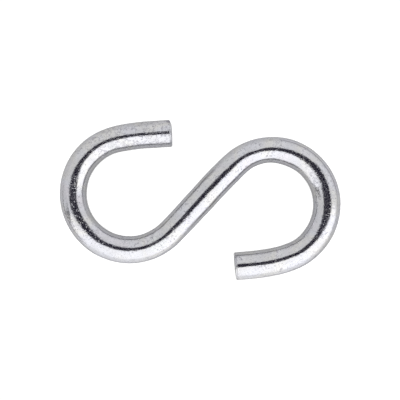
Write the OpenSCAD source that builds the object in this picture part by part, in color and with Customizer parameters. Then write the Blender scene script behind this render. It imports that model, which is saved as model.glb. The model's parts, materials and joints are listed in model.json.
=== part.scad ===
// S hook: one length of round steel wire, bent into two open eyes that curl opposite ways
// from the ends of a short straight shank. It lies flat, as it comes to rest on a bench.
// +X runs along the line of load, through the centres of both eyes, and +Z is up.
// The origin is midway between the eyes' centres, on the surface that the wire lies on.

/* [Wire] */
// Diameter of the round wire where it is straight
wire_d = 6; // [3:0.5:8]
// How much thinner the wire is drawn in the tight bends of its eyes
draw_down = 0.1; // [0.04:0.02:0.3]
// Radius of the rounded rim round each sheared end
rim_r = 0.4; // [0.1:0.1:1]

/* [Shank] */
// Length of the straight wire between the two eyes
shank_l = 19.5; // [12:0.5:60]

/* [Left eye] */
// Clear width inside the left eye
left_eye_d = 18.1; // [12:0.1:30]
// Angle through which the wire turns round the left eye
left_wrap = 215; // [160:1:222]
// Radius of the gentler bend that eases the left eye into its tail, at the middle of the wire
left_ease_r = 50; // [20:1:90]
// Angle through which the wire turns in that gentler bend
left_ease = 7.5; // [2:0.5:12]
// Length of the straight tail that ends the left eye
left_tail_l = 5; // [2:0.5:8]

/* [Right eye] */
// Clear width inside the right eye
right_eye_d = 17.5; // [12:0.1:30]
// Angle through which the wire turns round the right eye
right_wrap = 204.5; // [160:0.5:215]
// Radius of the gentler bend that eases the right eye into its tail, at the middle of the wire
right_ease_r = 30; // [20:1:60]
// Angle through which the wire turns in that gentler bend
right_ease = 16.5; // [2:0.5:20]
// Length of the straight tail that ends the right eye
right_tail_l = 4; // [2:0.5:8]

/* [Hidden] */
$fn = 96;
// Length by which each bend runs on into its neighbours, so that all join as one solid
lap = 0.2;
// The wire's diameter in the eyes, and in the gentler bends where it recovers half its draw-down
eye_wire_d = wire_d - draw_down;
ease_wire_d = wire_d - draw_down / 2;
// Radius of each eye, at the middle of the wire
left_r = (left_eye_d + eye_wire_d) / 2;
right_r = (right_eye_d + eye_wire_d) / 2;
// Slope of the shank across the line of load
shank_slope = atan((left_r + right_r) / shank_l);

// Straight wire from the origin along +X. What follows it starts at its far end.
module straight(l) {
    rotate([0, 90, 0]) cylinder(d = wire_d, h = l);
    translate([l, 0, 0]) children();
}

// Wire of diameter d that leaves the origin along +X and turns right through angle a.
// What follows it starts at its far end, along its new heading.
module bend(r, a, d) {
    lap_a = lap / r * 180 / PI;
    translate([0, -r, 0]) {
        rotate_extrude(start = 90 - a - lap_a, angle = a + 2 * lap_a)
            translate([r, 0]) circle(d = d);
        rotate([0, 0, -a]) translate([0, r, 0]) children();
    }
}

// Straight tail from the origin along +X, sheared off square, with a rounded rim
module tail(l) {
    rotate([0, 90, 0]) rotate_extrude() {
        square([wire_d / 2 - rim_r, l]);
        square([wire_d / 2, l - rim_r]);
        translate([wire_d / 2 - rim_r, l - rim_r]) circle(r = rim_r);
    }
}

// The whole bent wire, followed outwards from each end of the shank
module hook() {
    color("silver")
    translate([0, 0, wire_d / 2])
    rotate([0, 0, shank_slope])
    translate([-shank_l / 2, (right_r - left_r) / 2, 0]) {
        straight(shank_l)
            bend(right_r, right_wrap, eye_wire_d)
            bend(right_ease_r, right_ease, ease_wire_d)
            tail(right_tail_l);
        rotate([0, 0, 180])
            bend(left_r, left_wrap, eye_wire_d)
            bend(left_ease_r, left_ease, ease_wire_d)
            tail(left_tail_l);
    }
}

hook();
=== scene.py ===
"""A zinc plated s hook, lying on a pale table inside a lit white tent."""

import json
import math

import bpy
import numpy as np
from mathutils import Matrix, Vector


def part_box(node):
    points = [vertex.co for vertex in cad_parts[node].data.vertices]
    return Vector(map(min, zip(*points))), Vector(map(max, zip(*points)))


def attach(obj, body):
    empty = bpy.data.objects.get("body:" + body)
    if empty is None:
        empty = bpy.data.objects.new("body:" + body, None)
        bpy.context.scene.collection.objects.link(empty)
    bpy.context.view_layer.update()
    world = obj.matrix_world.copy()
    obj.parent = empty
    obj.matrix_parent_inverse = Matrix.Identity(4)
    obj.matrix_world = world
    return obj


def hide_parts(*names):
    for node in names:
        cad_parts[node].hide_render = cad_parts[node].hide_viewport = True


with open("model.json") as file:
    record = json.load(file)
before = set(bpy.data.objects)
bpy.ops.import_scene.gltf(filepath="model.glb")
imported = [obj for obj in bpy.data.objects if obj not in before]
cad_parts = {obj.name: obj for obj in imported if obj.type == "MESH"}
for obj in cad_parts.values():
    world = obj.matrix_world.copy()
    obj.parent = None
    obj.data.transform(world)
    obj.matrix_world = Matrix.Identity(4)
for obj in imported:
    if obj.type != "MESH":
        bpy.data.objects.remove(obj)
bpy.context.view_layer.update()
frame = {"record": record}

# ---------------------------------------------------------------------------------------------
# The wire. The whole hook is one length of drawn mild steel wire, sheared off at both ends, bent
# cold round two pins into an s, then zinc plated and passivated in a tumbling barrel.
# ---------------------------------------------------------------------------------------------
low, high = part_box("hook")
swell_room = 0.985  # the swells and dents stand proud of the wire's own radius
wire_r = (high.z - low.z) / 2 * swell_room
left_eye, right_eye = frame["record"]["mounts"]
left_r = (left_eye["dims"]["r_mm"] + left_eye["dims"]["length_mm"] / 2) / 1000
right_r = (right_eye["dims"]["r_mm"] + right_eye["dims"]["length_mm"] / 2) / 1000
eye_gap = right_eye["pos_m"][0] - left_eye["pos_m"][0]
shank_l = math.sqrt(eye_gap**2 - (left_r + right_r) ** 2)
shank_slope = math.asin((left_r + right_r) / eye_gap)

# What follows the shank at each end, as (length along the wire, degrees it turns to the right):
# the eye, a stretch where it eases open, and a straight tail
left_bends = [
    (left_r * math.radians(215), 215),
    (0.050 * math.radians(7.5), 7.5),
    (0.005, 0),
]
right_bends = [
    (right_r * math.radians(204.5), 204.5),
    (0.030 * math.radians(16.5), 16.5),
    (0.004, 0),
]


def follow(start, heading, stretches, step=0.00025):
    """The middle of the wire from start, in points a step apart, along straight and bent stretches."""
    at = Vector(start)
    points = [at.copy()]
    for length, turn in stretches:
        count = math.ceil(length / step)
        for _ in range(count):
            heading -= math.radians(turn) / count / 2
            at += Vector((math.cos(heading), math.sin(heading), 0)) * length / count
            heading -= math.radians(turn) / count / 2
            points.append(at.copy())
    return points


# The shank lies between the eyes, along their inner common tangent, and the bends follow its ends
shank = Vector((math.cos(shank_slope), math.sin(shank_slope), 0)) * shank_l
shank_mid = Vector((-math.sin(shank_slope), math.cos(shank_slope), 0)) * (right_r - left_r) / 2
left_part = follow(shank_mid - shank / 2, shank_slope + math.pi, left_bends)
right_part = follow(shank_mid + shank / 2, shank_slope, right_bends)
middle = left_part[::-1] + right_part
wire_l = sum((b - a).length for a, b in zip(middle, middle[1:]))

# The former: the line that the straight wire is bent round
former_line = bpy.data.curves.new("former", "CURVE")
former_line.dimensions = "2D"
spline = former_line.splines.new("POLY")
spline.points.add(len(middle) - 1)
spline.points.foreach_set("co", [c for p in middle for c in (p.x, p.y, 0, 1)])
former = bpy.data.objects.new("former", former_line)
bpy.context.scene.collection.objects.link(former)


def pick(piece, test):
    """Selects, in edit mode, the vertices whose x, y and z pass the test."""
    bpy.ops.object.mode_set(mode="OBJECT")
    mesh = piece.data
    place = np.empty(len(mesh.vertices) * 3)
    mesh.vertices.foreach_get("co", place)
    mesh.polygons.foreach_set("select", np.zeros(len(mesh.polygons), bool))
    mesh.edges.foreach_set("select", np.zeros(len(mesh.edges), bool))
    mesh.vertices.foreach_set("select", test(*place.reshape(-1, 3).T))
    bpy.ops.object.mode_set(mode="EDIT")
    bpy.ops.mesh.select_mode(type="VERT")


# The straight wire, cut to length: a ring near each end, bridged by rings a gap apart
sides = 112
ring_gap = 0.00016
rim_r = 0.00028
rim_room = 0.0004
bpy.ops.object.select_all(action="DESELECT")
ring = {"vertices": sides, "radius": wire_r, "rotation": (0, math.pi / 2, 0)}
bpy.ops.mesh.primitive_circle_add(location=(0, 0, 0), **ring)
wire = bpy.context.object
wire.name = wire.data.name = "bent_wire"
bpy.ops.object.transform_apply(location=True, rotation=True, scale=True)
bpy.ops.object.mode_set(mode="EDIT")
bpy.ops.transform.translate(value=(rim_room, 0, 0))
bpy.ops.mesh.primitive_circle_add(location=(wire_l - rim_room, 0, 0), **ring)
bpy.ops.mesh.select_all(action="SELECT")
rings = round((wire_l - 2 * rim_room) / ring_gap)
bpy.ops.mesh.bridge_edge_loops(number_cuts=rings - 1, interpolation="LINEAR", smoothness=0)

# Each sheared end: a rounded rim, then a face of rings that close on a point, bulged a little
face_rings = 11
bulge = 0.00016
near_enough = 1e-6
for end, out in ((rim_room, -1), (wire_l - rim_room, 1)):
    pick(wire, lambda x, y, z: abs(x - end) < ring_gap / 4)
    stretch = {"value": (out * (rim_room - bulge), 0, 0)}
    bpy.ops.mesh.extrude_region_move(TRANSFORM_OT_translate=stretch)
    bpy.ops.mesh.edge_face_add()
    bpy.ops.mesh.bevel(offset=rim_r, segments=5, affect="EDGES")
    face_x = end + out * (rim_room - bulge)
    pick(wire, lambda x, y, z: abs(x - face_x) < near_enough)
    for _ in range(face_rings):
        bpy.ops.mesh.inset(thickness=wire_r / (face_rings + 2))
    bpy.ops.mesh.poke()
    pick(wire, lambda x, y, z: (abs(x - face_x) < near_enough) & (np.hypot(y, z) < wire_r / 20))
    bpy.ops.transform.translate(
        value=(out * bulge, 0, 0),
        use_proportional_edit=True,
        proportional_edit_falloff="SPHERE",
        proportional_size=wire_r,
    )
bpy.ops.mesh.select_all(action="SELECT")
bpy.ops.mesh.normals_make_consistent(inside=False)
bpy.ops.object.mode_set(mode="OBJECT")

# The place of each point in the straight wire, kept for the marks that run along it
straight = np.empty(len(wire.data.vertices) * 3, np.float32)
wire.data.vertices.foreach_get("co", straight)
kept = wire.data.attributes.new("straight", "FLOAT_VECTOR", "POINT")
kept.data.foreach_set("vector", straight)


def eased(reach):
    """Settings that let a move in edit mode fade out over that reach."""
    return {
        "use_proportional_edit": True,
        "proportional_edit_falloff": "SMOOTH",
        "proportional_size": reach,
    }


# The pins press the wire a little flat in both eyes, and it never follows them quite exactly:
# (place along the wire, half length of the stretch, how much narrower, how far aside)
for at, half, narrower, aside in (
    (0.0025, 0.0025, 0.975, 0),
    (0.0110, 0.0010, 0.975, 0),
    (0.0250, 0.0100, 0.965, 0),
    (0.0340, 0.0225, 0.990, 0),
    (0.0450, 0.0030, 0.980, 0),
    (0.0590, 0.0010, 0.975, -0.00010),
    (0.0715, 0.0010, 1.008, 0.00013),
    (0.0825, 0.0020, 0.955, 0.00008),
    (0.0980, 0.0150, 0.970, 0),
    (0.1176, 0.0010, 0.985, 0.00010),
):
    pick(wire, lambda x, y, z: abs(x - at) < half)
    bpy.ops.transform.resize(value=(1, narrower, 1), center_override=(at, 0, 0), **eased(0.006))
    bpy.ops.transform.translate(value=(0, aside, 0), **eased(0.006))

# The blade rolled one edge of the left end over as it went in
pick(wire, lambda x, y, z: (x < 0.0006) & (y < -0.0024))
bpy.ops.transform.translate(value=(0.00018, 0, 0), **eased(0.0007))
bpy.ops.object.mode_set(mode="OBJECT")


def ruffle(piece, name, size, strength, detail=0):
    """Raises and lowers a piece's surface by clouds of that size along x, y and z."""
    pattern = bpy.data.textures.new(name, "CLOUDS")
    pattern.noise_scale = 1
    pattern.noise_depth = detail
    grid = bpy.data.objects.new(name, None)
    grid.scale = size
    bpy.context.scene.collection.objects.link(grid)
    bpy.context.view_layer.update()
    displace = piece.modifiers.new(name, "DISPLACE")
    displace.texture = pattern
    displace.texture_coords = "OBJECT"
    displace.texture_coords_object = grid
    displace.strength = strength
    bpy.ops.object.modifier_apply(modifier=displace.name)
    bpy.data.objects.remove(grid)
    bpy.data.textures.remove(pattern)


# Faint lines left by the drawing die run along the wire, and its section swells and thins
ruffle(wire, "die_lines", (0.020, 0.0007, 0.0007), 0.00002, detail=1)
ruffle(wire, "swells", (0.007, 0.006, 0.006), 0.00009)

# Bent round the former, and laid on the table
bend = wire.modifiers.new("bend", "CURVE")
bend.object = former
bend.deform_axis = "POS_X"
bpy.context.view_layer.update()
bpy.ops.object.modifier_apply(modifier=bend.name)
bpy.data.objects.remove(former)
wire.location.z = (low.z + high.z) / 2
bpy.ops.object.transform_apply(location=True, rotation=True, scale=True)

# The barrel dents it all over, and the plated zinc has a fine uneven skin
ruffle(wire, "dents", (0.0018, 0.0018, 0.0018), 0.00002)
ruffle(wire, "skin", (0.0005, 0.0005, 0.0005), 0.00001)
bpy.ops.object.shade_smooth()


class Port:
    """An output of a shader node. Arithmetic on ports adds Math nodes to their tree."""

    def __init__(self, tree, socket=None):
        self.tree = tree
        self.socket = socket

    def node(self, kind, inputs, output=0, **settings):
        """A new node: its settings are made first, then its inputs take numbers, colours or ports."""
        made = self.tree.nodes.new("ShaderNode" + kind)
        for name, value in settings.items():
            if name == "stops":
                for at, colour in value[1:-1]:
                    made.color_ramp.elements.new(at)
                for stop, (at, colour) in zip(made.color_ramp.elements, value):
                    stop.position = at
                    stop.color = colour
            else:
                setattr(made, name, value)
        for name, value in inputs.items():
            if isinstance(value, Port):
                self.tree.links.new(value.socket, made.inputs[name])
            else:
                made.inputs[name].default_value = value
        return Port(self.tree, None if output is None else made.outputs[output])

    def also(self, output):
        """Another output of the same node."""
        return Port(self.tree, self.socket.node.outputs[output])

    def maths(self, operation, other=0.0):
        """A Math node on this port and another port or number."""
        return self.node("Math", {0: self, 1: other}, operation=operation)

    def __add__(self, other):
        return self.maths("ADD", other)

    def __sub__(self, other):
        return self.maths("SUBTRACT", other)

    def __rsub__(self, other):
        return self.node("Math", {0: other, 1: self}, operation="SUBTRACT")

    def __mul__(self, other):
        return self.maths("MULTIPLY", other)

    def __abs__(self):
        return self.maths("ABSOLUTE")

    __radd__ = __add__
    __rmul__ = __mul__

    def at_most(self, other):
        """The smaller of the two."""
        return self.maths("MINIMUM", other)

    def or_more(self, other):
        """The larger of the two."""
        return self.maths("MAXIMUM", other)

    def rise(self, start, end):
        """0 below start and 1 above end, with a smooth rise between them."""
        inputs = {"Value": self, "From Min": start, "From Max": end}
        return self.node("MapRange", inputs, interpolation_type="SMOOTHSTEP")

    def tinted(self, dull, bright):
        """From the dull colour at 0 to the bright one at 1. Either may be a port."""
        return self.node("Mix", {0: self, 6: dull, 7: bright}, 2, data_type="RGBA")

    def scaled(self, factor):
        """A colour or a place, times a number or a port."""
        return self.node("VectorMath", {0: self, "Scale": factor}, operation="SCALE")

    def stretched(self, factors):
        """A place, times one factor for each axis."""
        return self.node("VectorMath", {0: self, 1: factors}, operation="MULTIPLY")

    def away_from(self, point):
        """How far a place is from a point."""
        return self.node("VectorMath", {0: self, 1: point}, "Value", operation="DISTANCE")

    def axis(self, name):
        """One of a place's axes. The others are also there."""
        return self.node("SeparateXYZ", {"Vector": self}, name)


def noise(place, scale, detail, **inputs):
    """A noise pattern from 0 to 1 at a place, with about that many features to the millimetre."""
    return place.node("TexNoise", {"Vector": place, "Scale": scale, "Detail": detail, **inputs})


def spots(place, scale, size, chance):
    """Round spots at a place, 1 in the middle and fading out over the two distances in size.

    They lie at random, and only where a spot's own random number is past the two in chance.
    """
    cells = place.node("TexVoronoi", {"Vector": place, "Scale": scale})
    return (1 - cells.rise(*size)) * cells.also("Color").rise(*chance)


# The faint tints of the passivation film, which follow how thick it is
FILM = [
    (0.30, (0.87, 0.85, 0.89, 1)),
    (0.40, (0.85, 0.86, 0.91, 1)),
    (0.50, (0.87, 0.87, 0.88, 1)),
    (0.57, (0.89, 0.88, 0.84, 1)),
    (0.63, (0.87, 0.86, 0.89, 1)),
    (0.72, (0.86, 0.88, 0.87, 1)),
]
DULL_ZINC = (0.72, 0.72, 0.74, 1)
# The darker colour of the marks: dull flecks, scratches, and the left end's corner and the groove
DARK_MARK_ZINC = (0.40, 0.39, 0.44, 1)


def zinc_plate():
    """Bright zinc on drawn wire: cloudy passivation, dull flecks, die lines and barrel scuffs."""
    material = bpy.data.materials.new("zinc_plate")
    material.use_nodes = True
    material.node_tree.nodes.clear()
    start = Port(material.node_tree)

    # The place on the bent hook in millimetres, and on the wire as drawn in metres
    place = start.node("TexCoord", {}, "Object").scaled(1000.0)
    drawn = start.node("Attribute", {}, "Vector", attribute_name="straight")
    along = drawn.axis("X")
    side = along.also("Y").maths("ARCTAN2", along.also("Z"))

    # The plating itself: clouds of tint, a fine mottle, die lines, pits and raised nibs
    clouds = noise(place, 0.16, 1.0)
    film = clouds.node("ValToRGB", {"Fac": clouds}, "Color", stops=FILM)
    blotches = noise(place, 0.45, 3.0)
    mottle = noise(place, 1.6, 4.0, Roughness=0.7)
    grain = noise(place, 3.0, 2.0)
    frost = (mottle * 0.4 + grain * 0.6).rise(0.42, 0.62)
    lines = noise(drawn.stretched((60.0, 1000.0, 1000.0)), 3.0, 3.0)
    pit = spots(place, 1.9, (0.05, 0.34), (0.50, 0.60))
    nib = spots(place, 2.5, (0.08, 0.38), (0.40, 0.60))

    # The barrel's scuffs: dull flecks, and scribbled scratches that are thickest at the left end
    scuffed = blotches.rise(0.45, 0.62)
    specks = noise(place, 1.9, 3.0, Roughness=0.6).rise(0.56, 0.66)
    dull = specks * (0.2 + 0.6 * scuffed)
    crinkle = 1 - abs(noise(place, 0.8, 3.0) - 0.5).rise(0.004, 0.028)
    knocked = 1 - along.rise(0.010, 0.022)
    scratch = crinkle * (scuffed * 0.7 + knocked).at_most(1.0)

    # Bending rubs the wire coarse in both eyes, and scores the outside of the right one
    rubbed = along.rise(0.018, 0.026) * (1 - along.rise(0.040, 0.050))
    rubbed = rubbed + 0.6 * along.rise(0.084, 0.090) * (1 - along.rise(0.106, 0.116))
    groove = (1 - abs(side - 0.90).rise(0.01, 0.08)) * along.rise(0.0870, 0.0876)
    groove = groove * (1 - along.rise(0.100, 0.106))

    # The blade tears both end faces, and the left end's corner and the groove are coloured darker
    torn = 1 - along.rise(0.0002, 0.0005) + along.rise(wire_l - 0.0005, wire_l - 0.0002)
    tear = torn * noise(drawn.stretched((0, 3000.0, 700.0)), 1.0, 4.0)
    corner = drawn.away_from((0.0002, -0.0026, 0.0012))
    darker_corner_and_groove = (1 - corner.rise(0.0005, 0.0011)).or_more(0.7 * groove)

    # Where the film is worn the zinc is duller, and every mark is darker still
    worn = (mottle * 0.6 + grain * 0.4).rise(0.34, 0.56) * 0.5 + blotches.rise(0.34, 0.58) * 0.5
    marks = (dull * 0.9).or_more(scratch * 0.7).or_more(darker_corner_and_groove)
    colour = marks.tinted(worn.tinted(DULL_ZINC, film), DARK_MARK_ZINC)

    # The relief in millimetres
    height = 0.009 * mottle + 0.006 * grain + 0.006 * lines - 0.005 * pit - 0.009 * scratch
    height = height + (0.005 + 0.015 * rubbed) * nib + 0.050 * tear - 0.060 * groove
    relief = start.node("Bump", {"Height": height, "Distance": 0.001, "Strength": 1.0})

    # A sharp reflection under a hazy one, which the flecks and the frost bring up
    sharp = start.node(
        "BsdfPrincipled",
        {
            "Base Color": colour,
            "Metallic": 1.0,
            "Roughness": 0.05 + 0.05 * frost + 0.03 * lines,
            "Normal": relief,
        },
    )
    hazy = start.node(
        "BsdfPrincipled",
        {
            "Base Color": colour.scaled(0.62),
            "Metallic": 1.0,
            "Roughness": 0.28 + 0.10 * dull,
            "Normal": relief,
        },
    )
    haze = 0.29 + 0.05 * frost + 0.35 * dull
    shader = start.node("MixShader", {0: haze, 1: sharp, 2: hazy})
    start.node("OutputMaterial", {"Surface": shader}, None)
    return material


wire.data.materials.append(zinc_plate())
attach(wire, "root")
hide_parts("hook")

# ---------------------------------------------------------------------------------------------
# The table: a wide sheet of pale matt laminate, which the hook lies on. The camera sees it evenly
# lit. The metal doesn't see it lit: it sees a painted reflection, an emission with painted shade,
# brightest on the near side, darker under the hook, and with a painted dark patch at the left.
# ---------------------------------------------------------------------------------------------
bpy.ops.object.select_all(action="DESELECT")
bpy.ops.mesh.primitive_plane_add(size=8, location=(0, 0, low.z))
table = bpy.context.object
table.name = "table"
bpy.ops.object.transform_apply(location=True, rotation=True, scale=True)
laminate = bpy.data.materials.new("pale_laminate")
laminate.use_nodes = True
laminate.node_tree.nodes.clear()
start = Port(laminate.node_tree)
lit = start.node(
    "BsdfPrincipled",
    {
        "Base Color": (0.85, 0.85, 0.85, 1),
        "Roughness": 0.8,
        "Specular IOR Level": 0.0,
        "Emission Color": (1, 1, 1, 1),
        "Emission Strength": 0.35,
    },
)
spot = start.node("TexCoord", {}, "Object")
# Painted shade for the metal's view of the table: ambient occlusion darkens it under the hook, and it
# is darker beyond the near side
open_sky = start.node("AmbientOcclusion", {"Distance": 0.02}, "AO", samples=8)
far_side = spot.axis("Y").rise(-0.022, -0.014)
# A painted dark patch in the table's reflection, at the near left of the hook
painted_left_shade = 1 - spot.away_from((-0.066, -0.024, 0)).rise(0.024, 0.028)
painted_reflection_shade = open_sky * (1 - 0.33 * far_side) * (1 - 0.65 * painted_left_shade)
painted_reflection_colour = start.node("VectorMath", {0: (0.98, 0.98, 1.0), "Scale": painted_reflection_shade}, operation="SCALE")
# The painted reflection: the metal sees this glow in place of the lit table
painted_table_reflection = start.node("Emission", {"Color": painted_reflection_colour})
glance = start.node("LightPath", {}, "Is Glossy Ray")
sheet = start.node("MixShader", {0: glance, 1: lit, 2: painted_table_reflection})
start.node("OutputMaterial", {"Surface": sheet}, None)
table.data.materials.append(laminate)

# ---------------------------------------------------------------------------------------------
# The tent: white cloth lit from outside, brighter on the near side, with a slot over the hook
# for the camera. It is the world, so it has no end, and only the metal sees it.
# ---------------------------------------------------------------------------------------------
camera_turn = math.radians(4.41)
tent = bpy.data.worlds.new("tent")
bpy.context.scene.world = tent
tent.cycles_visibility.diffuse = False
tent.use_nodes = True
tent.node_tree.nodes.clear()
start = Port(tent.node_tree)
facing = start.node("TexCoord", {}, "Generated")
turned = start.node("VectorRotate", {"Vector": facing, "Angle": -camera_turn}, rotation_type="Z_AXIS")
right = turned.axis("X")
back = right.also("Y")
up = right.also("Z")

# The near half is brighter, up to a line that slants across the roof
reach = 0.2 * right - back - 0.18 * (1 - up) * (1 - up)
near = reach.rise(0.06, 0.28)

# On the left the bright cloth ends at a sharp edge, with an unlit gap low down behind it
edge = 0.32 * up - back - 0.457
left_wall = 1 - right.rise(-0.7, -0.5)
near = near.or_more(edge.rise(-0.01, 0.02) * left_wall)
gap = edge.rise(-0.24, -0.08) * (1 - edge.rise(-0.01, 0.01)) * left_wall
gap = gap * (1 - up.rise(0.45, 0.65))
foot = 0.93 + 0.07 * up.rise(0.0, 0.3)
walls = (0.81 + 0.50 * near) * (1 + 0.10 * right) * (1 - 0.85 * gap) * foot

# The slot overhead runs from left to right, and is wider at its right end
slot = right.rise(-0.60, -0.50) * (1 - right.rise(0.52, 0.62)) * back.rise(-0.19, -0.11)
slot = slot * (1 - (back - 0.25 * right).rise(0.28, 0.38)) * up.rise(0.0, 0.1)
cloth = slot.tinted((1.0, 1.0, 1.02, 1), (0.004, 0.002, 0.016, 1))
background = start.node("Background", {"Color": cloth.scaled(slot.or_more(walls))})
start.node("OutputWorld", {"Surface": background}, None)

# ---------------------------------------------------------------------------------------------
# The lamp: one even light from straight above, small and far away. It lights the table, keeps
# the hook's shadow close round it, and doesn't show in the metal.
# ---------------------------------------------------------------------------------------------
lamp = bpy.data.objects.new("lamp", bpy.data.lights.new("lamp", "SUN"))
lamp.data.energy = 2.6
lamp.data.angle = math.radians(2)
lamp.visible_glossy = False
bpy.context.scene.collection.objects.link(lamp)

# ---------------------------------------------------------------------------------------------
# The camera: a long lens looking straight down, a little under half a metre above the hook, and
# turned a few degrees, so that the line through the eyes lies aslant.
# ---------------------------------------------------------------------------------------------
camera = bpy.data.objects.new("camera", bpy.data.cameras.new("camera"))
camera.data.lens = 200
camera.location = (-0.00014, -0.00018, wire_r + 0.4752)
camera.rotation_euler = (0, 0, camera_turn)
bpy.context.scene.collection.objects.link(camera)
bpy.context.scene.camera = camera
bpy.context.scene.view_settings.view_transform = "Standard"
